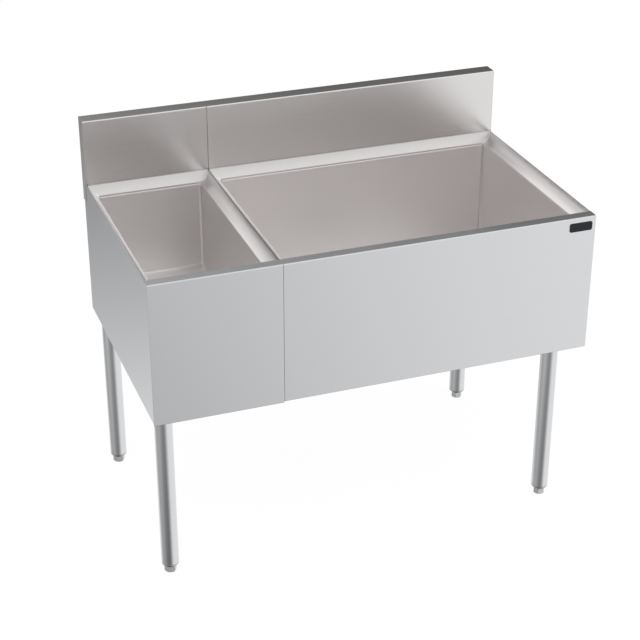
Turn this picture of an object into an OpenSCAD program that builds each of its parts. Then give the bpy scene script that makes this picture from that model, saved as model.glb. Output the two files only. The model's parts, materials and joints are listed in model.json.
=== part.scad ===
// Underbar ice bin: a small open well beside an insulated ice bin, both in satin stainless
// sheet, with a box backsplash behind and four tubular legs on screw-in feet.
// The origin is at floor level under the middle of the unit. +X is the viewer's right,
// +Y the back and +Z up. Each module is drawn from its own left, front, lower corner.

/* [Cabinet] */
// Width of the left module, which holds the open well
well_w = 304.8; // [290:1:420]
// Width of the right module, which holds the ice bin
bin_w = 762; // [600:1:950]
// Front of the apron to the back of the backsplash
depth = 609.6; // [560:1:700]
// Height of the cabinet from the lower skirt edge to the rim
body_h = 347.5; // [335:0.5:420]
// Clear height under the cabinet
leg_h = 431.8; // [300:1:600]
// Thickness of the stainless sheet
sheet = 1.2; // [0.9:0.1:1.6]
// How much higher the ice bin's skirt ends than the well's
skirt_step = 3; // [0:0.5:6]
// Gap at the seam between each module's outer skin and the seam plane
seam_clear = 0.4; // [0.2:0.1:1]
// How far the outer side panels stand in from the ends of the apron
side_inset = 1.5; // [1.3:0.1:3]

/* [Rims] */
// Depth of the flat rim along the front
front_rim = 28.5; // [20:0.5:40]
// How far the flat rim's rear edge is folded down
front_rim_lip = 40; // [32:1:60]
// Inset of a tub's opening from the side of its module
rim_in = 25.4; // [18:0.2:40]
// Drop from the rim to the edge of the opening
rim_drop = 28; // [15:0.5:31]
// Depth of the sloping ledge between the opening and the backsplash
ledge_in = 11.5; // [6:0.5:30]

/* [Tubs] */
// Height of the open well's floor above the lower skirt edge
well_floor = 98; // [53:0.5:200]
// Height of the ice bin's floor above the lower skirt edge
bin_floor = 55.5; // [53:0.5:120]
// Inner radius of a tub's upright corners
tub_r = 8; // [4:0.5:40]
// Height of the upstand that the tub has behind the splash front
upstand_h = 20; // [8:1:60]

/* [Backsplash] */
// Height of the backsplash above the rim
splash_h = 162.5; // [80:0.5:250]
// Depth of the backsplash box, front to back
splash_t = 42.5; // [30:0.5:80]
// How far the rear sheet of the splash reaches down over the back panel
splash_tail = 50; // [20:1:90]
// Width of the tail on the outer end caps
cap_tail_w = 26; // [15:1:29]
// How far the back panel reaches up inside the backsplash
back_lap = 10; // [4:1:60]

/* [Folded edges] */
// Width of the folded skirt hem of an apron
hem = 12; // [8:0.5:20]
// Width of the folded skirt hem of a side panel or partition
side_hem = 8; // [6:0.5:12]
// Width of the flanges of the side panels, front and back
side_flange = 15; // [12:0.5:20]
// Width of the down-turned lip around a bottom pan
pan_lip = 16; // [8:0.5:20]
// Height of the bottom pans above the lower skirt edge
pan_z = 28; // [27:0.5:32]

/* [Drains] */
// Distance of both drains from the front of the apron
drain_y = 300; // [200:1:400]
// Radius of the pressed recess that takes the drain flange
sump_r = 48; // [44:0.5:70]
// Depth of that recess
sump_h = 4; // [3:0.5:6]
// Gap between the drain flange and the wall of its recess
flange_clear = 2; // [0.5:0.1:4]
// Thickness of the drain flange
flange_t = 1.6; // [1:0.1:2]
// Outer radius of the drain neck
neck_r = 17.6; // [16.9:0.1:19]
// Outer radius of the threaded tail, for one inch waste pipe
tail_r = 16.7; // [14:0.1:16.8]
// Bore radius of a drain
drain_bore_r = 13; // [8:0.5:13.5]
// Length of the tail that takes the waste pipe
tail_len = 32; // [15:1:60]
// Depth of the neck below the bottom pan
neck_below_pan = 4; // [2:0.5:10]
// Clearance of the neck in the liner, the gasket and the nut
neck_clear = 0.1; // [0.05:0.05:0.3]
// Outer radius of the gasket under the liner
gasket_r = 28; // [22:0.5:34]
// Thickness of the gasket
gasket_t = 2.5; // [1:0.5:4]
// Size of the drain nut across its flats
drain_nut_af = 50; // [42:1:58]
// Thickness of the drain nut
drain_nut_t = 8; // [5:0.5:10]
// Radius of the hole in a bottom pan that the drain passes
pan_hole_r = 24; // [20:0.5:40]
// Radius of a strainer plate
strainer_r = 44; // [30:0.5:44]
// Thickness of a strainer plate
strainer_t = 1.5; // [0.8:0.1:2]
// Radius of one hole of a strainer
strainer_hole_r = 2.2; // [1:0.1:2.6]
// Rings of holes around the middle hole of a strainer
strainer_rings = 5; // [1:1:5]
// Outermost holes of a strainer to its edge
strainer_edge = 7; // [5:0.5:12]

/* [Insulation] */
// Clear radius of the foam around the drain parts
foam_drain_r = 34; // [34:0.5:45]
// Clear radius of the foam around a bolt end
foam_bolt_r = 9; // [8:0.5:12]
// Gap between the top of the foam and the edge of the opening
foam_top_gap = 2; // [1:0.5:8]

/* [Legs] */
// Outer radius of a leg tube
leg_r = 20.65; // [16:0.05:22]
// Wall of a leg tube
leg_wall = 1.5; // [1:0.1:3]
// Gap between the left legs and the side panel's hem
leg_gap = 1.95; // [0.5:0.05:20]
// Right legs: axis to the outer end of the unit
leg_in_right = 67.5; // [50:0.5:90]
// Front and rear legs: axis to the front and to the back of the unit
leg_y = 50.8; // [45:0.1:70]
// Wall of a leg socket
socket_wall = 2.9; // [2:0.1:4]
// Height of a leg socket
socket_h = 22; // [18:0.5:24]
// Radial clearance of a leg tube in its socket
socket_clear = 0.1; // [0.05:0.05:0.3]
// Width of the rails that carry the sockets
rail_w = 84; // [76:1:100]
// Thickness of a rail
rail_t = 2.5; // [2:0.1:4]
// Height of a rail, over its flanges
rail_h = 20; // [12:1:24]
// Gap between a rail and the lip of the bottom pan
rail_gap = 0.3; // [0.2:0.1:2]

/* [Feet] */
// Size of a foot across its flats
foot_af = 25.4; // [22:0.1:26]
// Height of the hexagon of a foot
foot_h = 18; // [12:0.5:30]
// Chamfer around the bottom of a foot
foot_chamfer = 2; // [1:0.1:4]
// Chamfer around the top of a foot
foot_top_chamfer = 0.8; // [0.4:0.1:2]
// Gap between the hexagon and the insert when the foot is screwed in
foot_gap = 0.3; // [0.2:0.1:2]
// Radius of the threaded stem
stem_r = 7.9; // [6:0.05:9.5]
// Radial clearance of the stem in its thread
stem_clear = 0.05; // [0.02:0.01:0.1]
// Length of the threaded stem
stem_len = 42; // [35:1:50]
// Height of the tapered nose of the insert, below the tube
insert_nose = 9; // [5:0.5:15]
// Radius of the end of that nose
nose_r = 13.3; // [12.8:0.1:15]
// Length of the insert inside the tube
insert_len = 38; // [20:1:60]
// Radial clearance of the insert in its tube
insert_clear = 0.05; // [0.02:0.01:0.1]

/* [Fasteners] */
// Radius of the module and rail bolts
bolt_r = 3; // [2.5:0.1:4]
// Radial clearance of every fastener in its hole
hole_clear = 0.2; // [0.1:0.05:0.5]
// Size of a bolt's hexagon across its flats
bolt_af = 10; // [9:0.5:13]
// Height of a bolt head
bolt_head_h = 4; // [3:0.5:6]
// Height of a nut
nut_h = 5; // [3:0.5:6]
// Thread that stands out past a nut
bolt_end = 1.5; // [0.5:0.5:3]
// Length of the back panel screws below their heads
screw_len = 6; // [4:0.5:8]
// Radius of those screws
screw_r = 2; // [1.5:0.1:2.5]
// Radius of their heads
screw_head_r = 4.2; // [3.5:0.1:5]
// Height of their heads
screw_head_h = 1; // [0.6:0.1:1.2]
// Radius of a socket screw
set_r = 4; // [3:0.1:5]
// Size of its hexagon across the flats
set_af = 11; // [9:0.5:13]
// Height of its hexagon
set_head_h = 4; // [3:0.5:6]
// Length of its shank that shows between the socket and the hexagon
set_stand = 1.5; // [0.5:0.5:3]

/* [Front plate] */
// Width of the blank plate on the bin's apron
plate_w = 58; // [30:1:90]
// Height of the plate
plate_h = 22; // [12:1:40]
// Thickness of the plate
plate_t = 1; // [0.6:0.1:2]
// Corner radius of the plate
plate_r = 5; // [2:0.5:5.5]
// Plate centre to the right end of the unit
plate_in = 38; // [34:1:80]
// Plate centre to the rim
plate_drop = 23; // [22:1:60]

/* [Hidden] */
$fn = 64;
eps = 0.01;
proud = 1; // extra length of a cutting shape past the face that it cuts
lap = 0.3; // height over which the band around an opening runs into the rims above it

// Places of the modules
total_w = well_w + bin_w;
x_well = -total_w / 2;
x_bin = x_well + well_w;
y_front = -(depth + plate_t) / 2 + plate_t;

// Levels and faces that both modules share, in a module's own corner frame
open_z = body_h - rim_drop;
splash_y = depth - splash_t;
tub_y0 = front_rim + sheet;
tub_y1 = splash_y - ledge_in;
outer_in = side_inset + sheet; // inner face of an outer side panel
seam_in = sheet; // inner face of a partition
back_face = depth - 2 * sheet; // front face of a back panel
inner_back = back_face - sheet; // front face of the side panels' rear flanges
inner_front = 2 * sheet; // rear face of the side panels' front flanges
pan_top = pan_z + sheet;
rail_z = pan_z - rail_t; // underside of a rail, where the sockets hang
back_in = seam_clear + sheet + side_inset;

// What hangs below the floors of the tubs
neck_end = pan_z - neck_below_pan;
flange_r = sump_r - flange_clear;

// Rails and legs
rail_y0 = inner_front + sheet + rail_gap;
rail_y1 = inner_back - sheet - rail_gap;
left_rail_x = outer_in + sheet + rail_gap;
right_rail_x = bin_w - leg_in_right - rail_w / 2;
socket_bore_r = leg_r + socket_clear;
socket_r = socket_bore_r + socket_wall;
socket_z = rail_z - socket_h;
tube_end = foot_h + foot_gap + insert_nose; // height of a leg tube's lower end above the floor
leg_x = [x_well + outer_in + side_hem + leg_gap + leg_r, x_bin + bin_w - leg_in_right];
leg_ys = [y_front + leg_y, y_front + depth - leg_y];
rail_bolt_in = 45; // a rail's end bolts to the legs' axes
rail_bolt_mid = 60; // a rail's middle bolts to the middle of the unit
rail_bolt_y = [leg_y + rail_bolt_in, depth / 2 - rail_bolt_mid,
               depth / 2 + rail_bolt_mid, depth - leg_y - rail_bolt_in];

// Bolts through the two partitions, and screws of the back panels
module_bolt_in = 80; // module bolts to the front and to the back of the unit
module_bolt_y = [module_bolt_in, depth - module_bolt_in];
module_bolt_z = [50, 80];
back_screw_end = 60; // a back panel's end screws to the skirt edge and to the rim
back_screw_z = [back_screw_end, body_h / 2, body_h - back_screw_end];
back_screw_in = side_flange / 2 + sheet;

// A flat shape in Y and Z, run along X
module along_x(len) { rotate([90, 0, 90]) linear_extrude(len) children(); }

// A flat shape in X and Z, run along Y
module along_y(len) { translate([0, len, 0]) rotate([90, 0, 0]) linear_extrude(len) children(); }

module in_well() { translate([x_well, y_front, leg_h]) children(); }
module in_bin() { translate([x_bin, y_front, leg_h]) children(); }

module block(from, to) { translate(from) cube(to - from); }

// Flat rectangle with exact round corners
module round_rect(x0, y0, x1, y1, r) {
    translate([x0 + r, y0]) square([x1 - x0 - 2 * r, y1 - y0]);
    translate([x0, y0 + r]) square([x1 - x0, y1 - y0 - 2 * r]);
    for (x = [x0 + r, x1 - r], y = [y0 + r, y1 - r]) translate([x, y]) circle(r);
}

module hex_bar(af, h) { cylinder(d = af / cos(30), h = h, $fn = 6); }

// The space between the sloping rims of a module, grown sideways by `grow`, and with upright
// sides from the rim up to `over`
module rim_space(w, l, r, grow, over) {
    intersection() {
        along_y(depth) polygon([
            [rim_in - grow, open_z], [w - rim_in + grow, open_z], [w - r + grow, body_h],
            [w - r + grow, body_h + over], [l - grow, body_h + over], [l - grow, body_h]]);
        along_x(w) polygon([
            [0, open_z], [tub_y1 + grow, open_z], [splash_y + grow, body_h],
            [splash_y + grow, body_h + over], [0, body_h + over]]);
    }
}

// Plan of a tub's upright walls, grown by `grow`
module tub_plan(w, grow) {
    round_rect(rim_in - grow, tub_y0 - grow, w - rim_in + grow, tub_y1 + grow, tub_r + grow);
}

// Outside of a tub below its opening, with the pressed recess for the drain
module tub_outside(w, floor_z) {
    translate([0, 0, floor_z - sheet]) linear_extrude(open_z - floor_z + sheet) tub_plan(w, sheet);
    translate([w / 2, drain_y, floor_z - sump_h - sheet]) cylinder(r = sump_r + sheet, h = sump_h + sheet);
}

// Tub with sloping rims, l and r being the faces of the side panels it meets
module liner(w, l, r, floor_z) {
    difference() {
        union() {
            intersection() {
                rim_space(w, l, r, sheet, 0);
                block([l, front_rim, open_z], [w - r, splash_y + sheet, body_h]);
            }
            block([rim_in - sheet, front_rim, open_z - sheet],
                  [w - rim_in + sheet, tub_y1 + sheet, open_z + lap]);
            block([l, splash_y, body_h - sheet], [w - r, splash_y + 2 * sheet, body_h]);
            block([l + sheet, splash_y + sheet, body_h - sheet],
                  [w - r - sheet, splash_y + 2 * sheet, body_h + upstand_h]);
            tub_outside(w, floor_z);
        }
        rim_space(w, l, r, 0, proud);
        translate([0, 0, floor_z]) linear_extrude(open_z - floor_z + proud) tub_plan(w, 0);
        translate([w / 2, drain_y, floor_z - sump_h]) cylinder(r = sump_r, h = sump_h + proud);
        translate([w / 2, drain_y, floor_z - sump_h - sheet - proud])
            cylinder(r = neck_r + neck_clear, h = sheet + 2 * proud);
    }
}

// Front sheet with its flat rim, rear lip and skirt hem, x0 to x1, with the lip and the hem
// held back to l and r
module apron(x0, x1, l, r, skirt) {
    block([x0, 0, skirt], [x1, sheet, body_h]);
    block([x0, 0, body_h - sheet], [x1, front_rim, body_h]);
    block([l, front_rim - sheet, body_h - front_rim_lip], [r, front_rim, body_h]);
    block([l, 0, skirt], [r, hem, skirt + sheet]);
}

// Side wall of a module with its flanges turned towards +X
module side_wall(skirt) {
    along_x(sheet) polygon([
        [sheet, skirt], [back_face, skirt], [back_face, body_h], [front_rim, body_h],
        [front_rim, body_h - sheet], [sheet, body_h - sheet]]);
    block([0, sheet, skirt + sheet], [sheet + side_flange, inner_front, body_h - sheet]);
    block([0, inner_back, skirt], [sheet + side_flange, back_face, body_h]);
    block([0, hem, skirt], [sheet + side_hem, inner_back, skirt + sheet]);
}

// Bolt holes of a partition, bored right through it and cut back from the seam plane
module partition_holes() {
    for (y = module_bolt_y, z = module_bolt_z)
        translate([-proud, y, z]) rotate([0, 90, 0])
            cylinder(r = bolt_r + hole_clear, h = sheet + 2 * proud);
}

// Screw places of a back panel, l and r being the inner faces of the side panels
module at_back_screws(w, l, r) {
    for (x = [l + back_screw_in, w - r - back_screw_in], z = back_screw_z)
        translate([x, depth - sheet, z]) rotate([90, 0, 0]) children();
}

module back_screw_holes(w, l, r) {
    at_back_screws(w, l, r) translate([0, 0, -proud])
        cylinder(r = screw_r + hole_clear, h = 2 * sheet + 2 * proud);
}

module back_panel(w, l, r, skirt) {
    difference() {
        block([back_in, back_face, skirt], [w - back_in, depth - sheet, body_h + back_lap]);
        back_screw_holes(w, l, r);
    }
}

// Folded pan that closes a module below, l and r being the side walls it meets
module bottom_pan(w, l, r, rail_x) {
    difference() {
        block([l, inner_front, pan_z - pan_lip], [w - r, inner_back, pan_top]);
        block([l + sheet, inner_front + sheet, pan_z - pan_lip - proud],
              [w - r - sheet, inner_back - sheet, pan_z]);
        translate([w / 2, drain_y, pan_z - proud]) cylinder(r = pan_hole_r, h = sheet + 2 * proud);
        at_rail_bolts(rail_x) translate([0, 0, -proud])
            cylinder(r = bolt_r + hole_clear, h = sheet + 2 * proud);
    }
}

// Bolt places of a rail, at the underside of the bottom pan
module at_rail_bolts(rail_x) {
    for (y = rail_bolt_y) translate([rail_x + rail_w / 2, y, pan_z]) children();
}

// Front, top and rear sheets of a backsplash, x0 to x1
module splash(x0, x1) {
    top = body_h + splash_h;
    translate([x0, 0, 0]) along_x(x1 - x0) polygon([
        [splash_y, body_h], [splash_y, top], [depth, top], [depth, body_h - splash_tail],
        [depth - sheet, body_h - splash_tail], [depth - sheet, top - sheet],
        [splash_y + sheet, top - sheet], [splash_y + sheet, body_h]]);
}

module seam_cap(x) {
    block([x, splash_y, body_h], [x + sheet, depth, body_h + splash_h]);
}

// Outer end cap with its tail over the side panel's rear edge
module outer_cap(x) {
    seam_cap(x);
    block([x, depth - cap_tail_w, body_h - splash_tail], [x + sheet, depth, body_h + splash_h]);
}

// Drain fitting of a tub, in the tub's module
module drain(w, floor_z) {
    flange_z = floor_z - sump_h;
    translate([w / 2, drain_y, 0]) difference() {
        union() {
            translate([0, 0, flange_z]) cylinder(r = flange_r, h = flange_t);
            translate([0, 0, neck_end]) cylinder(r = neck_r, h = flange_z - neck_end + eps);
            translate([0, 0, neck_end - tail_len]) cylinder(r = tail_r, h = tail_len + eps);
        }
        translate([0, 0, neck_end - tail_len - proud])
            cylinder(r = drain_bore_r, h = flange_z - neck_end + tail_len + flange_t + 2 * proud);
    }
}

module drain_gasket(w, floor_z) {
    translate([w / 2, drain_y, floor_z - sump_h - sheet - gasket_t]) difference() {
        cylinder(r = gasket_r, h = gasket_t);
        translate([0, 0, -proud]) cylinder(r = neck_r + neck_clear, h = gasket_t + 2 * proud);
    }
}

module drain_nut(w, floor_z) {
    translate([w / 2, drain_y, floor_z - sump_h - sheet - gasket_t - drain_nut_t]) difference() {
        hex_bar(drain_nut_af, drain_nut_t);
        translate([0, 0, -proud]) cylinder(r = neck_r + neck_clear, h = drain_nut_t + 2 * proud);
    }
}

module strainer_hole(from_middle) {
    translate([from_middle, 0, -proud])
        cylinder(r = strainer_hole_r, h = strainer_t + 2 * proud, $fn = 24);
}

// Perforated plate that lies on the drain flange
module strainer(w, floor_z) {
    translate([w / 2, drain_y, floor_z - sump_h + flange_t]) difference() {
        cylinder(r = strainer_r, h = strainer_t);
        strainer_hole(0);
        for (ring = [1 : strainer_rings], k = [0 : 6 * ring - 1])
            rotate(60 * k / ring) strainer_hole(ring * (strainer_r - strainer_edge) / strainer_rings);
    }
}

// Foam between the ice bin's tub and its casing
module foam() {
    difference() {
        block([seam_in, inner_front, pan_top], [bin_w - outer_in, inner_back, open_z - foam_top_gap]);
        tub_outside(bin_w, bin_floor);
        block([0, front_rim - sheet, body_h - front_rim_lip], [bin_w, front_rim + eps, open_z]);
        translate([bin_w / 2, drain_y, 0]) cylinder(r = foam_drain_r, h = bin_floor);
        at_rail_bolts(right_rail_x) cylinder(r = foam_bolt_r, h = sheet + nut_h + bolt_end + proud);
        for (y = module_bolt_y, z = module_bolt_z)
            translate([0, y, z]) rotate([0, 90, 0])
                cylinder(r = foam_bolt_r, h = sheet + nut_h + bolt_end + proud);
        at_back_screws(bin_w, seam_in, outer_in)
            cylinder(r = screw_r + hole_clear, h = screw_len + proud);
    }
}

// Rail that carries two leg sockets, x0 being its left edge in its module
module leg_rail(x0) {
    difference() {
        block([x0, rail_y0, pan_z - rail_h], [x0 + rail_w, rail_y1, pan_z]);
        block([x0 + rail_t, rail_y0 - proud, pan_z - rail_h - proud],
              [x0 + rail_w - rail_t, rail_y1 + proud, rail_z]);
        at_rail_bolts(x0) translate([0, 0, -rail_t - proud])
            cylinder(r = bolt_r + hole_clear, h = rail_t + 2 * proud);
    }
}

// side is 0 for the left legs and 1 for the right, end is 0 for the front and 1 for the rear
module at_leg(side, end) { translate([leg_x[side], leg_ys[end], 0]) children(); }

// Half turn that points a left leg's screw to the right and a right leg's to the left
module inward(side) { rotate([0, 0, 180 * side]) rotate([0, 90, 0]) children(); }

module leg_socket(side, end) {
    at_leg(side, end) translate([0, 0, leg_h + socket_z]) difference() {
        cylinder(r = socket_r, h = socket_h);
        translate([0, 0, -proud]) cylinder(r = socket_bore_r, h = socket_h + 2 * proud);
        translate([0, 0, socket_h / 2]) inward(side)
            cylinder(r = set_r + hole_clear, h = socket_r + proud);
    }
}

module leg_tube(side, end) {
    len = leg_h + rail_z - tube_end;
    at_leg(side, end) translate([0, 0, tube_end]) difference() {
        cylinder(r = leg_r, h = len);
        translate([0, 0, -proud]) cylinder(r = leg_r - leg_wall, h = len + 2 * proud);
    }
}

// Threaded plug in the end of a leg tube, with a tapered nose below the tube
module foot_insert(side, end) {
    at_leg(side, end) difference() {
        union() {
            translate([0, 0, tube_end - insert_nose]) cylinder(r1 = nose_r, r2 = leg_r, h = insert_nose);
            translate([0, 0, tube_end - eps])
                cylinder(r = leg_r - leg_wall - insert_clear, h = insert_len + eps);
        }
        translate([0, 0, tube_end - insert_nose - proud])
            cylinder(r = stem_r + stem_clear, h = insert_nose + insert_len + 2 * proud);
    }
}

// Hexagonal foot with its threaded stem
module foot(side, end) {
    corner_r = foot_af / cos(30) / 2;
    flat_r = foot_af / 2;
    at_leg(side, end) {
        intersection() {
            hex_bar(foot_af, foot_h);
            rotate_extrude() polygon([
                [0, 0], [flat_r - foot_chamfer, 0], [corner_r + eps, foot_chamfer * 1.6],
                [corner_r + eps, foot_h - foot_top_chamfer], [flat_r - foot_top_chamfer, foot_h],
                [0, foot_h]]);
        }
        translate([0, 0, foot_h - eps]) cylinder(r = stem_r, h = stem_len + eps);
    }
}

// Group of the bolts that clamp the two partitions, heads on the well's side
module bolts_at_seam() {
    grip = 2 * sheet + nut_h + bolt_end;
    in_bin() for (y = module_bolt_y, z = module_bolt_z)
        translate([-sheet, y, z]) rotate([0, 90, 0]) {
            translate([0, 0, -bolt_head_h]) hex_bar(bolt_af, bolt_head_h);
            translate([0, 0, -eps]) cylinder(r = bolt_r, h = grip + eps);
        }
}

module nut() {
    difference() {
        hex_bar(bolt_af, nut_h);
        translate([0, 0, -proud]) cylinder(r = bolt_r + hole_clear, h = nut_h + 2 * proud);
    }
}

module nuts_at_seam() {
    in_bin() for (y = module_bolt_y, z = module_bolt_z)
        translate([sheet, y, z]) rotate([0, 90, 0]) nut();
}

module rail_bolt() {
    grip = rail_t + sheet + nut_h + bolt_end;
    translate([0, 0, -rail_t - bolt_head_h]) hex_bar(bolt_af, bolt_head_h);
    translate([0, 0, -rail_t - eps]) cylinder(r = bolt_r, h = grip + eps);
}

module back_screw() {
    translate([0, 0, -screw_head_h]) cylinder(r = screw_head_r, h = screw_head_h);
    translate([0, 0, -eps]) cylinder(r = screw_r, h = screw_len + eps);
}

// Set screw of one socket, from the tube's wall to its hexagon
module socket_screw(side, end) {
    at_leg(side, end) translate([0, 0, leg_h + socket_z + socket_h / 2]) inward(side) difference() {
        union() {
            cylinder(r = set_r, h = socket_r + set_stand + eps);
            translate([0, 0, socket_r + set_stand]) hex_bar(set_af, set_head_h);
        }
        translate([-2 * set_r, 0, 0]) rotate([0, 90, 0]) cylinder(r = leg_r, h = 4 * set_r);
    }
}

module well_liner() {
    color("silver") in_well() liner(well_w, outer_in, seam_in, well_floor);
}
module well_apron() {
    color("gainsboro") in_well() apron(0, well_w - seam_clear, outer_in, well_w - seam_in, 0);
}
module well_side_panel() {
    color("darkgray") in_well() translate([side_inset, 0, 0]) difference() {
        side_wall(0);
        translate([-side_inset, 0, 0]) back_screw_holes(well_w, outer_in, seam_in);
    }
}
module well_partition() {
    color("darkgray") in_well() difference() {
        translate([well_w, 0, 0]) mirror([1, 0, 0]) side_wall(0);
        translate([well_w - sheet, 0, 0]) partition_holes();
        back_screw_holes(well_w, outer_in, seam_in);
    }
}
module well_back_panel() {
    color("lightgray") in_well() back_panel(well_w, outer_in, seam_in, 0);
}
module well_bottom_pan() {
    color("lightgray") in_well() bottom_pan(well_w, outer_in, seam_in, left_rail_x);
}
module well_backsplash() {
    color("silver") in_well() splash(sheet, well_w - seam_clear - sheet);
}
module well_splash_cap_left() { color("gray") in_well() outer_cap(0); }
module well_splash_cap_right() { color("gray") in_well() seam_cap(well_w - seam_clear - sheet); }
module well_drain() { color("dimgray") in_well() drain(well_w, well_floor); }
module well_drain_gasket() { color("black") in_well() drain_gasket(well_w, well_floor); }
module well_drain_nut() { color("goldenrod") in_well() drain_nut(well_w, well_floor); }
module well_strainer() { color("silver") in_well() strainer(well_w, well_floor); }

module bin_liner() {
    color("silver") in_bin() liner(bin_w, seam_in, outer_in, bin_floor);
}
module bin_insulation() { color("wheat") in_bin() foam(); }
module bin_apron() {
    color("gainsboro") in_bin() apron(seam_clear, bin_w, seam_in, bin_w - outer_in, skirt_step);
}
module bin_side_panel() {
    color("darkgray") in_bin() difference() {
        translate([bin_w - side_inset, 0, 0]) mirror([1, 0, 0]) side_wall(skirt_step);
        back_screw_holes(bin_w, seam_in, outer_in);
    }
}
module bin_partition() {
    color("darkgray") in_bin() difference() {
        side_wall(skirt_step);
        partition_holes();
        back_screw_holes(bin_w, seam_in, outer_in);
    }
}
module bin_back_panel() {
    color("lightgray") in_bin() back_panel(bin_w, seam_in, outer_in, skirt_step);
}
module bin_bottom_pan() {
    color("lightgray") in_bin() bottom_pan(bin_w, seam_in, outer_in, right_rail_x);
}
module bin_backsplash() {
    color("silver") in_bin() splash(seam_clear + sheet, bin_w - sheet);
}
module bin_splash_cap_left() { color("gray") in_bin() seam_cap(seam_clear); }
module bin_splash_cap_right() { color("gray") in_bin() outer_cap(bin_w - sheet); }
module bin_drain() { color("dimgray") in_bin() drain(bin_w, bin_floor); }
module bin_drain_gasket() { color("black") in_bin() drain_gasket(bin_w, bin_floor); }
module bin_drain_nut() { color("goldenrod") in_bin() drain_nut(bin_w, bin_floor); }
module bin_strainer() { color("silver") in_bin() strainer(bin_w, bin_floor); }
module front_plate() {
    x = bin_w - plate_in - plate_w / 2;
    z = body_h - plate_drop - plate_h / 2;
    color("black") in_bin() translate([0, -plate_t, 0]) along_y(plate_t)
        round_rect(x, z, x + plate_w, z + plate_h, plate_r);
}

module left_leg_rail() { color("gray") in_well() leg_rail(left_rail_x); }
module right_leg_rail() { color("gray") in_bin() leg_rail(right_rail_x); }
module leg_socket_front_left() { color("gray") leg_socket(0, 0); }
module leg_socket_front_right() { color("gray") leg_socket(1, 0); }
module leg_socket_rear_left() { color("gray") leg_socket(0, 1); }
module leg_socket_rear_right() { color("gray") leg_socket(1, 1); }
module leg_tube_front_left() { color("silver") leg_tube(0, 0); }
module leg_tube_front_right() { color("silver") leg_tube(1, 0); }
module leg_tube_rear_left() { color("silver") leg_tube(0, 1); }
module leg_tube_rear_right() { color("silver") leg_tube(1, 1); }
module foot_insert_front_left() { color("gray") foot_insert(0, 0); }
module foot_insert_front_right() { color("gray") foot_insert(1, 0); }
module foot_insert_rear_left() { color("gray") foot_insert(0, 1); }
module foot_insert_rear_right() { color("gray") foot_insert(1, 1); }
module foot_front_left() { color("dimgray") foot(0, 0); }
module foot_front_right() { color("dimgray") foot(1, 0); }
module foot_rear_left() { color("dimgray") foot(0, 1); }
module foot_rear_right() { color("dimgray") foot(1, 1); }

module module_bolts() { color("silver") bolts_at_seam(); }
module module_nuts() { color("silver") nuts_at_seam(); }
module rail_bolts() {
    color("silver") {
        in_well() at_rail_bolts(left_rail_x) rail_bolt();
        in_bin() at_rail_bolts(right_rail_x) rail_bolt();
    }
}
module rail_nuts() {
    color("silver") {
        in_well() at_rail_bolts(left_rail_x) translate([0, 0, sheet]) nut();
        in_bin() at_rail_bolts(right_rail_x) translate([0, 0, sheet]) nut();
    }
}
module back_panel_screws() {
    color("silver") {
        in_well() at_back_screws(well_w, outer_in, seam_in) back_screw();
        in_bin() at_back_screws(bin_w, seam_in, outer_in) back_screw();
    }
}
module socket_screws() {
    color("silver") for (side = [0, 1], end = [0, 1]) socket_screw(side, end);
}

well_liner();
well_apron();
well_side_panel();
well_partition();
well_back_panel();
well_bottom_pan();
well_backsplash();
well_splash_cap_left();
well_splash_cap_right();
well_drain();
well_drain_gasket();
well_drain_nut();
well_strainer();
bin_liner();
bin_insulation();
bin_apron();
bin_side_panel();
bin_partition();
bin_back_panel();
bin_bottom_pan();
bin_backsplash();
bin_splash_cap_left();
bin_splash_cap_right();
bin_drain();
bin_drain_gasket();
bin_drain_nut();
bin_strainer();
front_plate();
left_leg_rail();
right_leg_rail();
leg_socket_front_left();
leg_socket_front_right();
leg_socket_rear_left();
leg_socket_rear_right();
leg_tube_front_left();
leg_tube_front_right();
leg_tube_rear_left();
leg_tube_rear_right();
foot_insert_front_left();
foot_insert_front_right();
foot_insert_rear_left();
foot_insert_rear_right();
foot_front_left();
foot_front_right();
foot_rear_left();
foot_rear_right();
module_bolts();
module_nuts();
rail_bolts();
rail_nuts();
back_panel_screws();
socket_screws();
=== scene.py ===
import json
from math import atan2, cos, pi, radians, sin, sqrt, tan

import bmesh
import bpy
from mathutils import Matrix, Vector


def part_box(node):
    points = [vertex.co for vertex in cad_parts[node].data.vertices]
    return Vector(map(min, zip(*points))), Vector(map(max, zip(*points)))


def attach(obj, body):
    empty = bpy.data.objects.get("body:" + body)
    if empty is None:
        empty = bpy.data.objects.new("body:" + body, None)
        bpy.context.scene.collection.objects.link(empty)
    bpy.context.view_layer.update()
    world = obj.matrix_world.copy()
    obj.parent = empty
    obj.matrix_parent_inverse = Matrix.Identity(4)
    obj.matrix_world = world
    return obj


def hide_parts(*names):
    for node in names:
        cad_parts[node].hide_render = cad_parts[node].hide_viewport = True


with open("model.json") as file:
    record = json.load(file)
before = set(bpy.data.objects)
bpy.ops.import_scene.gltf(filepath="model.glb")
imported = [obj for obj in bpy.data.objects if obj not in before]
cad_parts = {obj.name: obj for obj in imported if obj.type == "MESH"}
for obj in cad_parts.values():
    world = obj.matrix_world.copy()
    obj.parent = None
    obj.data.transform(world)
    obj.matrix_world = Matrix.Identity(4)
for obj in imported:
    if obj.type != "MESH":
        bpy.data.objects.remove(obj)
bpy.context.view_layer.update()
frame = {"nodes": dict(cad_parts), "record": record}
nodes = frame["nodes"]
bodies = frame["record"]["behaviour"]["bodies"]
bodyOf = {node: body for body, members in bodies.items() for node in members}
print("frame loaded with", len(nodes), "nodes")

sheetMetal = {
    "thickness": 0.0012,
    "bend": 0.0018,       # outer radius of an ordinary fold
    "cutEdge": 0.0002,    # rounding of a cut edge after deburring
    "segments": 6,        # faces across a fold
}
rimDrop = 0.028           # from the flat rim down to the tubs' openings
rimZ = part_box("well_apron")[1].z
openZ = rimZ - rimDrop
seamX = (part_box("well_apron")[1].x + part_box("bin_apron")[0].x) / 2


# camera

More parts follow.
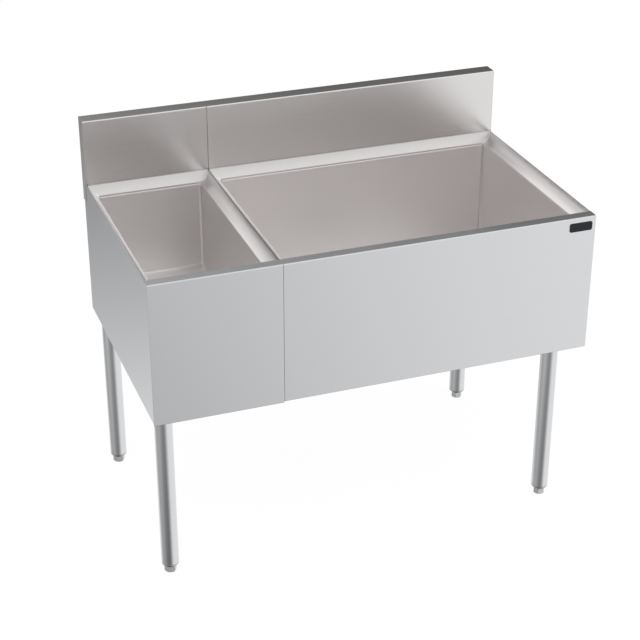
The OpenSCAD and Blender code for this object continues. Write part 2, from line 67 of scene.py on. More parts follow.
cameraView = {
    "place": (-1.2405, -3.3133, 2.3249),
    "turn": (62.090, -0.067, -19.984),   # degrees
    "lens": 91.75,
    "sensor": 36.0,
}


def addCamera(look):
    data = bpy.data.cameras.new("photoCamera")
    data.lens = look["lens"]
    data.sensor_width = look["sensor"]
    camera = bpy.data.objects.new("photoCamera", data)
    camera.location = look["place"]
    camera.rotation_euler = [radians(angle) for angle in look["turn"]]
    bpy.context.scene.collection.objects.link(camera)
    bpy.context.scene.camera = camera


addCamera(cameraView)
print("camera set")


# shader maths: expressions on Signal add Math nodes

class Signal:
    def __init__(self, finish, socket):
        self.finish = finish
        self.socket = socket

    def maths(self, operation, first, second):
        return self.finish.add("Math", {"operation": operation}, {0: first, 1: second})

    def __add__(self, other):
        return self.maths("ADD", self, other)

    def __radd__(self, other):
        return self.maths("ADD", other, self)

    def __sub__(self, other):
        return self.maths("SUBTRACT", self, other)

    def __rsub__(self, other):
        return self.maths("SUBTRACT", other, self)

    def __mul__(self, other):
        return self.maths("MULTIPLY", self, other)

    def __rmul__(self, other):
        return self.maths("MULTIPLY", other, self)

    def above(self, other):
        return self.maths("GREATER_THAN", self, other)

    def size(self):
        return self.maths("ABSOLUTE", self, 0.0)

    def between(self, low, high):
        return self.maths("MINIMUM", self.maths("MAXIMUM", self, low), high)

    def ramp(self, low, high, smooth=True):   # 0 at low, 1 at high
        kind = "SMOOTHSTEP" if smooth else "LINEAR"
        return self.finish.add("MapRange", {"interpolation_type": kind}, {0: self, 1: low, 2: high})


class Finish:
    def __init__(self, owner):
        owner.use_nodes = True
        self.owner = owner
        self.tree = owner.node_tree
        self.tree.nodes.clear()

    def add(self, kind, settings=None, sockets=None, output=0):
        node = self.tree.nodes.new("ShaderNode" + kind)
        for key, value in (settings or {}).items():
            setattr(node, key, value)
        for key, value in (sockets or {}).items():
            if isinstance(value, Signal):
                self.tree.links.new(value.socket, node.inputs[key])
            else:
                node.inputs[key].default_value = value
        return Signal(self, node.outputs[output]) if node.outputs else node

    def place(self):
        return self.add("TexCoord", output="Object")

    def scaled(self, vector, scale):
        return self.add("VectorMath", {"operation": "MULTIPLY"}, {0: vector, 1: scale})

    def noise(self, vector, scale, detail=2.0, roughness=0.5):
        return self.add("TexNoise", None, {
            "Vector": vector, "Scale": scale, "Detail": detail, "Roughness": roughness})

    def axis(self, vector, letter):
        return self.add("SeparateXYZ", None, {0: vector}, letter)

    def blend(self, factor, first, second):   # colours or vectors
        return self.add("Mix", {"data_type": "RGBA"}, {0: factor, 6: first, 7: second}, 2)

    def toned(self, colour, factor):
        return self.add("VectorMath", {"operation": "SCALE"}, {0: colour, "Scale": factor})

    def bump(self, height, strength, distance):
        return self.add("Bump", None, {"Height": height, "Strength": strength, "Distance": distance})

    def rays(self):           # from the camera, through something clear, and from a mirroring surface
        kinds = ("Is Camera Ray", "Is Transmission Ray", "Is Glossy Ray")
        return [self.add("LightPath", output=kind) for kind in kinds]

    def surface(self, sockets):
        shader = self.add("BsdfPrincipled", None, sockets)
        self.add("OutputMaterial", None, {"Surface": shader})
        return self.owner


def newFinish(name):
    return Finish(bpy.data.materials.new(name))


def rgb(red, green, blue):
    return (red, green, blue, 1.0)


def scaledColour(colour, factor):
    return rgb(*[min(channel * factor, 1.0) for channel in colour])


# finishes

def satinSteel(name, look):
    finish = newFinish(name)
    place = finish.place()
    grain = look["grain"]
    if grain == "walls":      # polished level on every wall, and along X on the floor
        normal = finish.add("NewGeometry", output="Normal")
        sideways = finish.axis(normal, "X").size().ramp(*look["sideways"])
        stretch = finish.blend(sideways, rgb(look["along"], look["across"], look["across"]),
                          rgb(look["across"], look["along"], look["across"]))
        lines = finish.scaled(place, stretch)
    elif grain == "rings":    # turned: lines run round the Z axis of the piece
        lines = finish.scaled(place, (look["along"], look["along"], look["across"]))
    else:
        stretch = [look["across"]] * 3
        stretch["XYZ".index(grain)] = look["along"]
        lines = finish.scaled(place, tuple(stretch))
    streak = finish.noise(lines, *look["streakNoise"])
    fine = finish.noise(lines, look["fineScale"])
    cloud = finish.noise(place, look["cloudScale"])
    shade = (streak - 0.5) * look["streakTone"] + (cloud - 0.5) * look["cloudTone"] + 0.5
    low, high = [scaledColour(look["colour"], 1.0 + side * look["toneRange"]) for side in (-1, 1)]
    colour = finish.blend(shade, low, high)
    rough = (streak - 0.5) * look["streakRough"] + (cloud - 0.5) * look["cloudRough"] + look["rough"]
    if grain == "walls":
        # painted shade on the liner: its rims, the ice bin's upright corners and the seam
        tone, polish = linerPaintedShade(finish, look, place, normal, sideways)
        colour = finish.toned(colour, tone)
        rough = rough + polish
    height = streak * (1.0 - look["fineShare"]) + fine * look["fineShare"]
    return finish.surface({
        "Base Color": colour, "Metallic": 1.0, "Roughness": rough,
        "Normal": finish.bump(height, look["bump"], look["bumpDepth"])})


def linerPaintedShade(finish, look, place, normal, sideways):
    # painted shade: the rims are toned darker than the bowl, less so where they lean sideways, and darker
    # still towards their outer edge
    level = finish.axis(place, "Z")
    share = level.ramp(openZ, rimZ, smooth=False)
    rim = level.ramp(openZ - look["rimBlend"], openZ)
    paintedRimShade = look["ledgeTone"] + sideways * look["sideTone"] - share * look["rimFade"]
    leanX, leanY = [finish.axis(normal, letter).size().ramp(*look["corner"]) for letter in "XY"]
    fromSeam = finish.axis(place, "X") - seamX
    paintedCornerShade = (1.0 - rim) * leanX * leanY * fromSeam.above(0.0)     # painted shade in the ice bin's upright corners
    # painted shade of the seam gap: a dark line on the rims where the two modules meet
    edge = rim * (1.0 - fromSeam.size().ramp(look["seamEdge"], look["seamEdge"] * 2))
    tone = (rim * (paintedRimShade - 1.0) + 1.0) * (1.0 - paintedCornerShade * look["cornerShadeTone"] - edge * look["seamShadeTone"])
    return tone, rim * finish.axis(normal, "X").ramp(*look["polished"]) * look["rimRough"]


satin = {
    "grain": "X", "along": 5.0, "across": 1200.0,
    "streakNoise": (1.0, 3.0, 0.6),       # scale, detail and roughness
    "fineScale": 3.7, "fineShare": 0.4,
    "colour": (0.74, 0.745, 0.76), "toneRange": 0.05,
    "streakTone": 0.2, "cloudScale": 3.0, "cloudTone": 0.2,
    "rough": 0.29, "streakRough": 0.06, "cloudRough": 0.04, "bump": 0.09, "bumpDepth": 0.0001,
}
liner = dict(
    # the liner's colour is lighter than the other steels: painted light making up for the light lost inside
    # the deep tubs
    satin, grain="walls", colour=(0.935, 0.91, 0.905), rough=0.38,
    rimBlend=0.002,      # how far below the opening the rims' painted shade begins
    # painted shade on the rims: darker than the bowl, lifted where they lean sideways, fading darker
    # towards the outer edge
    ledgeTone=0.89, sideTone=0.10, rimFade=0.15, rimRough=-0.16,
    sideways=(0.15, 0.4), corner=(0.1, 0.4), polished=(0.1, 0.3),     # how far a surface has to lean
    seamEdge=0.0013, seamShadeTone=0.6,       # painted shade of the seam gap where the two modules meet
    # painted shade in the ice bin's upright corners
    cornerShadeTone=0.36,
)
finishLooks = {
    "liner_steel": liner,
    "apron_steel": dict(satin),
    "panel_steel": dict(satin, grain="Y", colour=(0.73, 0.745, 0.765), rough=0.31),
    "back_steel": dict(satin, across=260.0, colour=(0.68, 0.68, 0.68), rough=0.38,
                       cloudScale=9.0, cloudTone=0.5, bump=0.05),
    "splash_steel": dict(satin, colour=(0.80, 0.785, 0.775), streakTone=0.14, bump=0.06),
    "leg_steel": dict(satin, grain="rings", colour=(0.69, 0.70, 0.715), rough=0.24, across=700.0),
    "rail_steel": dict(satin, grain="Y", across=200.0, colour=(0.62, 0.62, 0.62), rough=0.42,
                       cloudScale=12.0, cloudTone=0.6, bump=0.05),
    "foot_steel": dict(satin, grain="rings", across=1100.0, colour=(0.60, 0.60, 0.60), rough=0.34),
    "drain_steel": dict(satin, grain="rings", colour=(0.70, 0.70, 0.70), rough=0.28),
    "strainer_steel": dict(satin, across=700.0, colour=(0.74, 0.735, 0.73), rough=0.27),
    "bolt_steel": dict(satin, grain="rings", across=1500.0, colour=(0.66, 0.66, 0.67), rough=0.3),
}


def mottled(name, look):      # a fine grain for gloss and relief, a wide stain for colour
    finish = newFinish(name)
    place = finish.place()
    grain = finish.noise(finish.scaled(place, look.get("stretch", (1.0, 1.0, 1.0))), *look["grain"])
    stain = finish.noise(place, *look["stain"])
    if "stainRange" in look:
        stain = stain.ramp(*look["stainRange"])
    return finish.surface({
        "Base Color": finish.blend(stain, rgb(*look["first"]), rgb(*look["second"])),
        "Metallic": look.get("metallic", 0.0), "Specular IOR Level": look.get("specular", 0.5),
        "Roughness": grain * look["roughRange"] + look["rough"],
        "Normal": finish.bump(grain, look["bump"], look["bumpDepth"])})


mottledLooks = {
    "insert_alloy": {
        "metallic": 1.0, "grain": (900.0, 3.0, 0.6), "stain": (60.0, 2.0, 0.5),
        "first": (0.50, 0.51, 0.52), "second": (0.64, 0.65, 0.66),
        "rough": 0.36, "roughRange": 0.15, "bump": 0.35, "bumpDepth": 0.0003},
    "nut_brass": {
        "metallic": 1.0, "stretch": (30.0, 30.0, 1500.0), "grain": (1.0, 3.0, 0.6),
        "stain": (90.0, 4.0, 0.6), "stainRange": (0.35, 0.75),
        "first": (0.78, 0.57, 0.28), "second": (0.52, 0.36, 0.17),
        "rough": 0.22, "roughRange": 0.2, "bump": 0.15, "bumpDepth": 0.0003},
    "gasket_rubber": {
        "grain": (1400.0, 3.0, 0.7), "stain": (45.0, 3.0, 0.5),
        "first": (0.018, 0.018, 0.019), "second": (0.045, 0.045, 0.047),
        "rough": 0.62, "roughRange": 0.2, "bump": 0.4, "bumpDepth": 0.0003},
    "plate_dark": {
        "specular": 0.2, "grain": (160.0, 3.0, 0.5), "stain": (160.0, 3.0, 0.5),
        "first": (0.010, 0.012, 0.016), "second": (0.020, 0.023, 0.028),
        "rough": 0.3, "roughRange": 0.1, "bump": 0.05, "bumpDepth": 0.0002},
}
foamLook = {
    "cells": 420.0, "flow": (14.0, 4.0, 0.6), "first": (0.72, 0.52, 0.24), "second": (0.86, 0.72, 0.44),
    "rough": 0.7, "roughRange": 0.2, "bump": 0.6, "bumpDepth": 0.001,
}


def pouredFoam(name, look):
    finish = newFinish(name)
    place = finish.place()
    cells = finish.add("TexVoronoi", None, {"Vector": place, "Scale": look["cells"]})
    flow = finish.noise(place, *look["flow"])
    return finish.surface({
        "Base Color": finish.blend(flow, rgb(*look["first"]), rgb(*look["second"])),
        "Roughness": flow * look["roughRange"] + look["rough"],
        "Normal": finish.bump(cells, look["bump"], look["bumpDepth"])})


materials = {slot: satinSteel(slot, look) for slot, look in finishLooks.items()}
materials.update({slot: mottled(slot, look) for slot, look in mottledLooks.items()})
materials["foam"] = pouredFoam("foam", foamLook)
print("finishes made:", len(materials))


# modelling helpers

def toPiece(bm, name, node, slot, wall=None, edge=None, smooth=35.0):
    mesh = bpy.data.meshes.new(name)
    bm.to_mesh(mesh)
    bm.free()
    mesh.polygons.foreach_set("use_smooth", [True] * len(mesh.polygons))
    piece = bpy.data.objects.new(name, mesh)
    bpy.context.scene.collection.objects.link(piece)
    mesh.materials.append(materials[slot])
    if wall:
        solid = piece.modifiers.new("wall", "SOLIDIFY")
        solid.thickness = wall
        solid.offset = -1.0
        solid.use_even_offset = True
    if edge:
        soft = piece.modifiers.new("softEdges", "BEVEL")
        soft.width = edge
        soft.segments = 2
        soft.limit_method = "ANGLE"
        soft.angle_limit = radians(smooth)
    mesh.set_sharp_from_angle(angle=radians(smooth))
    if edge:
        weighted = piece.modifiers.new("shading", "WEIGHTED_NORMAL")
        weighted.keep_sharp = True
    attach(piece, bodyOf[node])
    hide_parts(node)


def rounded(bm, edges, radius, turn=pi / 2, segments=None):
    bmesh.ops.bevel(bm, geom=edges, affect="EDGES", offset=radius * tan(turn / 2),
                    segments=segments or sheetMetal["segments"], profile=0.5, material=-1,
                    clamp_overlap=False)


def edgesWhere(bm, test):
    return [edge for edge in bm.edges if test(*[vert.co for vert in edge.verts])]


def near(first, second, slack=1e-5):
    return abs(first - second) < slack


def faceOut(bm, inside):   # turn an open shell so that its outer side looks away from the point inside
    bmesh.ops.recalc_face_normals(bm, faces=bm.faces[:])
    leans = [face.normal.dot(face.calc_center_median() - inside) * face.calc_area() for face in bm.faces]
    if sum(leans) < 0:
        bmesh.ops.reverse_faces(bm, faces=bm.faces[:])


def faceIn(bm, inside):
    faceOut(bm, inside)
    bmesh.ops.reverse_faces(bm, faces=bm.faces[:])


def toSheetPiece(bm, name, node, slot, wall=sheetMetal["thickness"], edge=sheetMetal["cutEdge"]):
    low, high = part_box(node)
    faceOut(bm, (low + high) / 2)
    toPiece(bm, name, node, slot, wall=wall, edge=edge)


def raised(bm, edges):      # extrude edges, giving back the new points and the new far edges
    made = bmesh.ops.extrude_edge_only(bm, edges=edges)["geom"]
    verts = [part for part in made if isinstance(part, bmesh.types.BMVert)]
    far = [part for part in made if isinstance(part, bmesh.types.BMEdge)
           and all(vert in verts for vert in part.verts)]
    return verts, far


def sliced(bm, spot, normal, gap=1e-7, **cut):
    bmesh.ops.bisect_plane(bm, geom=bm.verts[:] + bm.edges[:] + bm.faces[:], dist=gap,
                           plane_co=spot, plane_no=normal, **cut)


def strip(profile, stations, along="X"):
    # extrude a folded section, given as two coordinates per corner, through the stations
    bm = bmesh.new()
    shift = Vector((1, 0, 0)) if along == "X" else Vector((0, 1, 0))
    verts = []
    for first, second in profile:
        spot = (stations[0], first, second) if along == "X" else (first, stations[0], second)
        verts.append(bm.verts.new(spot))
    front = [bm.edges.new(pair) for pair in zip(verts, verts[1:])]
    for here, there in zip(stations, stations[1:]):
        moved, front = raised(bm, front)
        bmesh.ops.translate(bm, verts=moved, vec=shift * (there - here))
    return bm


def foldEdges(bm, corner, along="X"):
    lead = 0 if along == "X" else 1
    rest = (1, 2) if along == "X" else (0, 2)

    def onFold(first, second):
        if near(first[lead], second[lead]):
            return False
        return all(near(spot[rest[k]], corner[k]) for spot in (first, second) for k in (0, 1))
    return edgesWhere(bm, onFold)


def middleOf(node):
    low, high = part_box(node)
    return (low.x + high.x) / 2, (low.y + high.y) / 2


def joined(parts):
    whole = bmesh.new()
    holder = bpy.data.meshes.new("holder")
    for part in parts:
        part.to_mesh(holder)
        part.free()
        whole.from_mesh(holder)
    bpy.data.meshes.remove(holder)
    return whole


def filledRound(bm, border, centre, radius, segments=64):     # fill a border, leaving a round hole
    ring = bmesh.ops.create_circle(bm, cap_ends=False, radius=radius, segments=segments)["verts"]
    bmesh.ops.translate(bm, verts=ring, vec=centre)
    circle = list(dict.fromkeys(edge for vert in ring for edge in vert.link_edges))
    bmesh.ops.triangle_fill(bm, use_beauty=True, edges=border + circle)
    return circle


def turned(profile, centre, steps=64):
    # lathe work: profile holds (radius, height) corners of a closed ring section
    bm = bmesh.new()
    x, y = centre
    verts = [bm.verts.new((x + radius, y, height)) for radius, height in profile]
    edges = [bm.edges.new((first, second)) for first, second in zip(verts, verts[1:] + verts[:1])]
    bmesh.ops.spin(bm, geom=verts + edges, cent=(x, y, 0), axis=(0, 0, 1), angle=2 * pi,
                   steps=steps, use_merge=True, use_duplicate=False)
    bmesh.ops.remove_doubles(bm, verts=bm.verts[:], dist=1e-7)
    bmesh.ops.recalc_face_normals(bm, faces=bm.faces[:])
    return bm


# aprons

apron = {"endRelief": {"outer": 0.0027, "seam": 0.0008}, "hem": 0.012, "lip": 0.040,
         "rimBend": 0.0025}


def addApron(name, node, leftEnd, rightEnd):
    low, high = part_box(node)
    left = low.x + apron["endRelief"][leftEnd]
    right = high.x - apron["endRelief"][rightEnd]
    hemEdge = low.y + apron["hem"]
    lipEnd = high.z - apron["lip"]
    bm = strip([(hemEdge, low.z), (low.y, low.z), (low.y, high.z), (high.y, high.z), (high.y, lipEnd)],
               [low.x, left, right, high.x])
    rounded(bm, foldEdges(bm, (low.y, low.z)), sheetMetal["bend"])
    rounded(bm, foldEdges(bm, (low.y, high.z)), apron["rimBend"])
    rounded(bm, foldEdges(bm, (high.y, high.z)), sheetMetal["bend"])

    def relieved(face):
        spot = face.calc_center_median()
        atEnd = spot.x < left or spot.x > right
        onHem = near(spot.z, low.z) and spot.y > low.y + sheetMetal["bend"]
        onLip = spot.z < high.z - sheetMetal["bend"] and near(spot.y, high.y)
        return atEnd and (onHem or onLip)
    bmesh.ops.delete(bm, geom=[face for face in bm.faces if relieved(face)], context="FACES")
    toSheetPiece(bm, name, node, "apron_steel")


addApron("wellApron", "well_apron", "outer", "seam")
addApron("binApron", "bin_apron", "seam", "outer")
print("aprons done")


# side panels and partitions

sideWall = {"hemStart": 0.012, "hemEnd": 0.0022, "hem": 0.0092, "rim": 0.0285, "soft": 0.0005}


def addSideWall(name, node, towards):
    low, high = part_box(node)
    x = low.x if towards > 0 else high.x
    frontY = low.y
    apronY = frontY - sheetMetal["thickness"]
    rimY = apronY + sideWall["rim"]
    hemFrom = apronY + sideWall["hemStart"]
    hemTo = high.y - sideWall["hemEnd"]
    underRim = high.z - sheetMetal["thickness"]
    outline = [(frontY, low.z), (hemFrom, low.z), (hemTo, low.z), (high.y, low.z), (high.y, high.z),
               (rimY, high.z), (rimY, underRim), (frontY, underRim)]
    bm = bmesh.new()
    verts = [bm.verts.new((x, y, z)) for y, z in outline]
    bm.faces.new(verts)
    width = high.x - low.x
    bent = []
    for first, second, reach in ((7, 0, width), (3, 4, width), (1, 2, sideWall["hem"])):
        edge = bm.edges.get((verts[first], verts[second]))
        bent.append(edge)
        bmesh.ops.translate(bm, verts=raised(bm, [edge])[0], vec=(reach * towards, 0, 0))
    rounded(bm, bent, sheetMetal["bend"])
    for y in (hemFrom, hemTo):       # splits the large face where the hem begins and ends
        sliced(bm, (0, y, 0), (0, 1, 0), gap=1e-6)
    toSheetPiece(bm, name, node, "panel_steel", edge=sideWall["soft"])


addSideWall("wellSidePanel", "well_side_panel", 1)
addSideWall("wellPartition", "well_partition", -1)
addSideWall("binPartition", "bin_partition", 1)
addSideWall("binSidePanel", "bin_side_panel", -1)
print("side walls done")


# backsplash boxes

splash = {"bend": 0.0025, "weldUp": 0.004, "capTail": 0.026, "cornerSegments": 5}


def addSplash(name, node):
    low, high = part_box(node)
    bm = strip([(low.y, rimZ + splash["weldUp"]), (low.y, high.z), (high.y, high.z), (high.y, low.z)],
               [low.x, high.x])
    rounded(bm, foldEdges(bm, (low.y, high.z)), splash["bend"])
    rounded(bm, foldEdges(bm, (high.y, high.z)), splash["bend"])
    toSheetPiece(bm, name, node, "splash_steel")


def addCap(name, node, outward, tailed):
    low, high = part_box(node)
    x = high.x if outward > 0 else low.x
    outline = [(low.y, rimZ), (low.y, high.z), (high.y, high.z), (high.y, low.z)]
    if tailed:
        outline += [(high.y - splash["capTail"], low.z), (high.y - splash["capTail"], rimZ)]
    bm = bmesh.new()
    verts = [bm.verts.new((x, y, z)) for y, z in outline]
    bm.faces.new(verts)
    bmesh.ops.bevel(bm, geom=verts[1:3], affect="VERTICES", offset=splash["bend"],
                    segments=splash["cornerSegments"], profile=0.5, material=-1)
    toSheetPiece(bm, name, node, "splash_steel")


addSplash("wellSplash", "well_backsplash")
addSplash("binSplash", "bin_backsplash")
addCap("wellSplashCapLeft", "well_splash_cap_left", -1, True)
addCap("wellSplashCapRight", "well_splash_cap_right", 1, False)
addCap("binSplashCapLeft", "bin_splash_cap_left", -1, False)
addCap("binSplashCapRight", "bin_splash_cap_right", 1, True)
print("backsplashes done")


# tubs: a deep drawn bowl, and the sloping frame that its upper edge is welded into

tub = {
    "wellWidth": 0.3048, "binWidth": 0.762,     # of the two modules
    "sideIn": 0.0254,       # opening to the side of its module
    "ledgeIn": 0.0115,
    "corner": 0.006,
    "mitre": 0.006,         # rounding where the ledge meets the side rims
    "frameLap": 0.016,      # how far the frame's lip runs down behind the bowl
    "bowlDown": 0.002,      # bowl's upper edge below the opening
    "beadHigh": 0.0022,     # the dressed weld slopes from the lip down to the bowl
    "beadFlare": 0.9,       # share of the wall's thickness that it spreads
    "openingBend": 0.007,
    "weldBend": 0.006, "weldSegments": 3,
    "bendTurn": 22.0,       # degrees, what these bends' reach is worked out for
    "soft": 0.0004,
    "hollow": 0.0052,       # how far the side rims are hollow at their middle
    "hollowCuts": 8,
    "sideLean": 0.6,        # a rim that leans this much or more is fully hollow
    "sumpRadius": 0.048, "sumpDepth": 0.004, "sumpEdge": 0.002, "sumpSegments": 4,
    "drainHole": 0.0177,
}


def bowlShell(x0, x1, y0, y1, floorZ, topZ, drain):
    bm = bmesh.new()
    bottom = [bm.verts.new((x, y, floorZ)) for x, y in ((x0, y0), (x1, y0), (x1, y1), (x0, y1))]
    bm.faces.new(bottom)
    floorEdges = bm.edges[:]
    bmesh.ops.translate(bm, verts=raised(bm, floorEdges)[0], vec=(0, 0, topZ - tub["beadHigh"] - floorZ))
    upright = edgesWhere(bm, lambda a, b: not near(a.z, b.z))
    rounded(bm, floorEdges + upright, tub["corner"])
    for vert in raised(bm, [edge for edge in bm.edges if edge.is_boundary])[0]:
        out = Vector((min(max(vert.co.x, x0 + tub["corner"]), x1 - tub["corner"]),
                      min(max(vert.co.y, y0 + tub["corner"]), y1 - tub["corner"]), vert.co.z))
        vert.co += (vert.co - out).normalized() * sheetMetal["thickness"] * tub["beadFlare"]
        vert.co.z = topZ
    flat = max(bm.faces, key=lambda face: face.calc_area() * near(face.calc_center_median().z, floorZ))
    border = flat.edges[:]
    bmesh.ops.delete(bm, geom=[flat], context="FACES_ONLY")
    return bm, filledRound(bm, border, (*drain, floorZ), tub["sumpRadius"])


def sinkSump(bm, circle, drain):
    low, lowEdges = raised(bm, circle)
    bmesh.ops.translate(bm, verts=low, vec=(0, 0, -tub["sumpDepth"]))
    shrink = tub["drainHole"] / tub["sumpRadius"]
    for vert in raised(bm, lowEdges)[0]:
        vert.co.x = drain[0] + (vert.co.x - drain[0]) * shrink
        vert.co.y = drain[1] + (vert.co.y - drain[1]) * shrink
    rounded(bm, circle + lowEdges, tub["sumpEdge"], segments=tub["sumpSegments"])


def frameShell(x0, x1, y0, y1, leftX, rightX, frontY, splashY):
    # lip, side rims and rear ledge, drawn from the lip's lower edge upwards
    bm = bmesh.new()
    low = openZ - tub["frameLap"]
    lip = [bm.verts.new(spot) for spot in ((x0, y0, low), (x0, y1, low), (x1, y1, low), (x1, y0, low))]
    edges = [bm.edges.new(pair) for pair in zip(lip, lip[1:])]
    top, topEdges = raised(bm, edges)
    bmesh.ops.translate(bm, verts=top, vec=(0, 0, tub["frameLap"]))
    for vert in raised(bm, topEdges)[0]:
        vert.co.x = leftX if near(vert.co.x, x0) else rightX
        vert.co.y = splashY if near(vert.co.y, y1) else vert.co.y
        vert.co.z = rimZ
    mitred = [edge for edge in bm.edges if not edge.is_boundary
              and not near(edge.verts[0].co.z, edge.verts[1].co.z)]
    rounded(bm, mitred, tub["mitre"])
    for vert in bm.verts:     # the rounding runs out to nothing at the outer corners
        if near(vert.co.z, rimZ) and vert.co.y > splashY - 2 * tub["mitre"]:
            for x in (leftX, rightX):
                if abs(vert.co.x - x) < 2 * tub["mitre"]:
                    vert.co.x = x
                    vert.co.y = splashY
    bmesh.ops.remove_doubles(bm, verts=bm.verts[:], dist=1e-6)
    for cut in range(1, tub["hollowCuts"] + 1):
        level = openZ + (rimZ - openZ) * cut / (tub["hollowCuts"] + 1)
        sliced(bm, (0, 0, level), (0, 0, 1))
    faceIn(bm, Vector(((x0 + x1) / 2, (y0 + y1) / 2, low)))
    bm.normal_update()
    hollowRims(bm)
    opening = edgesWhere(bm, lambda a, b: near(a.z, openZ) and near(b.z, openZ))
    turn = radians(tub["bendTurn"])
    rounded(bm, opening, tub["openingBend"], turn)
    ends = [edge for edge in bm.edges if edge.is_boundary
            and all(near(vert.co.y, y0) for vert in edge.verts)]
    bmesh.ops.translate(bm, verts=raised(bm, ends)[0], vec=(0, frontY - y0, 0))
    back = [edge for edge in bm.edges if edge.is_boundary
            and all(near(vert.co.y, splashY) and near(vert.co.z, rimZ) for vert in edge.verts)]
    bmesh.ops.translate(bm, verts=raised(bm, back)[0], vec=(0, 0, splash["weldUp"]))
    rounded(bm, back, tub["weldBend"], turn, tub["weldSegments"])
    return bm


def hollowRims(bm):       # sink the side rims, fading out round the mitres
    moves = {}
    for vert in bm.verts:
        share = (vert.co.z - openZ) / (rimZ - openZ)
        if 0.001 < share < 0.999:
            lean = min(abs(vert.normal.x) / tub["sideLean"], 1.0)
            moves[vert] = vert.normal * -tub["hollow"] * 4 * share * (1 - share) * lean * lean
    for vert, move in moves.items():
        vert.co += Vector((move.x, 0.0, move.z))


def addLiner(name, node, strainer):
    low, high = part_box(node)
    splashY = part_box("well_backsplash")[0].y
    sheet = sheetMetal["thickness"]
    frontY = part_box(node.replace("liner", "apron"))[0].y + sideWall["rim"]
    y0 = frontY + sheet
    y1 = splashY - tub["ledgeIn"]
    x0, x1 = tubSides(node)
    floorZ = low.z + sheet + tub["sumpDepth"]
    drain = middleOf(strainer)
    bowl, circle = bowlShell(x0, x1, y0, y1, floorZ, openZ - tub["bowlDown"], drain)
    sinkSump(bowl, circle, drain)
    trim = frameShell(x0 - sheet, x1 + sheet, y0, y1 + sheet, low.x, high.x, frontY, splashY)
    for part in (bowl, trim):
        faceIn(part, Vector(((x0 + x1) / 2, (y0 + y1) / 2, openZ - tub["frameLap"])))
    toPiece(joined([bowl, trim]), name, node, "liner_steel", wall=sheet, edge=tub["soft"])


def tubSides(node):
    if node == "well_liner":
        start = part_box("well_apron")[0].x
        end = start + tub["wellWidth"]
    else:
        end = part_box("bin_apron")[1].x
        start = end - tub["binWidth"]
    return start + tub["sideIn"], end - tub["sideIn"]


addLiner("wellLiner", "well_liner", "well_strainer")
addLiner("binLiner", "bin_liner", "bin_strainer")
print("tubs done")


# shapes shared by the small pieces

sameFace = radians(1.0)      # neighbouring faces that turn less than this become one


def cadCopy(node):
    bm = bmesh.new()
    bm.from_mesh(nodes[node].data)
    bmesh.ops.remove_doubles(bm, verts=bm.verts[:], dist=1e-6)
    bmesh.ops.dissolve_limit(bm, angle_limit=sameFace, verts=bm.verts[:], edges=bm.edges[:])
    return bm


def softened(name, node, slot, edge, smooth=30.0):     # copy of a plain CAD solid with its edges broken
    toPiece(cadCopy(node), name, node, slot, edge=edge, smooth=smooth)


def solidsOf(node):       # lowest and highest corner of each separate solid of a node
    bm = cadCopy(node)
    waiting = set(bm.verts)
    boxes = []
    while waiting:
        island = {waiting.pop()}
        frontier = list(island)
        while frontier:
            vert = frontier.pop()
            for edge in vert.link_edges:
                other = edge.other_vert(vert)
                if other not in island:
                    island.add(other)
                    frontier.append(other)
        waiting -= island
        boxes.append(tuple(Vector([pick(vert.co[k] for vert in island) for k in range(3)])
                           for pick in (min, max)))
    bm.free()
    return sorted(boxes, key=lambda box: tuple(round(value, 5) for value in box[0]))


def cutFlat(bm, height, upward):        # trim above or below a level and close the cut
    sliced(bm, (0, 0, height), (0, 0, 1 if upward else -1), clear_outer=True)
    bmesh.ops.holes_fill(bm, edges=[edge for edge in bm.edges if edge.is_boundary], sides=0)


threadFlank = ((1, 0.0), (1, 0.15), (0, 0.5), (0, 0.65), (1, 1.0))     # shares of its depth and pitch


def threadedRod(centre, radius, depth, pitch, low, high, steps=24):
    # one pitch of the thread's flank, swept up a helix and trimmed square at both ends
    bm = bmesh.new()
    x, y = centre
    start = low - pitch
    turns = int((high - low) / pitch) + 3
    verts = [bm.verts.new((x + (radius - sunk * depth), y, start + share * pitch))
             for sunk, share in threadFlank]
    edges = [bm.edges.new(pair) for pair in zip(verts, verts[1:])]
    bmesh.ops.spin(bm, geom=verts + edges, cent=(x, y, start), axis=(0, 0, 1), angle=2 * pi * turns,
                   dvec=(0, 0, pitch / steps), steps=steps * turns, use_merge=False, use_duplicate=False)
    bmesh.ops.remove_doubles(bm, verts=bm.verts[:], dist=1e-6)
    cutFlat(bm, high, True)
    cutFlat(bm, low, False)
    bmesh.ops.recalc_face_normals(bm, faces=bm.faces[:])
    return bm


def hexBlock(flats, low, high, chamfer):
    bm = bmesh.new()
    middle = Matrix.Translation((0, 0, (low + high) / 2))
    bmesh.ops.create_cone(bm, cap_ends=True, segments=6, radius1=flats / sqrt(3), radius2=flats / sqrt(3),
                          depth=high - low, matrix=middle @ Matrix.Rotation(pi / 2, 4, "Z"))
    rims = edgesWhere(bm, lambda a, b: near(a.z, b.z))
    bmesh.ops.bevel(bm, geom=rims, affect="EDGES", offset=chamfer, segments=2, profile=0.5, material=-1)
    bmesh.ops.recalc_face_normals(bm, faces=bm.faces[:])
    return bm


def placed(bm, spot, axis):       # turn a part made along +Z towards an axis and move it to its place
    turn = Vector((0, 0, 1)).rotation_difference(Vector(axis)).to_matrix().to_4x4()
    bmesh.ops.transform(bm, matrix=Matrix.Translation(spot) @ turn, verts=bm.verts[:])
    return bm


corners = ["front_left", "front_right", "rear_left", "rear_right"]


def cornerName(word, corner):
    return word + corner.title().replace("_", "")


# legs: tubes, tapered inserts and hexagon feet

leg = {"wall": 0.0015, "cut": 0.0004, "steps": 96}
insert = {"noseRadius": 0.0133, "nose": 0.009, "plugPlay": 0.00155, "bore": 0.00795, "curve": 7,
          "cut": 0.0006, "shoulderCut": 0.0002,
          "band": 0.0012}      # short straight band below the tube
foot = {"hexTop": 0.018, "soft": 0.00035, "stem": 0.0079, "threadDepth": 0.0011, "pitch": 0.0023,
        "sunk": 0.0008, "slack": 1e-5}


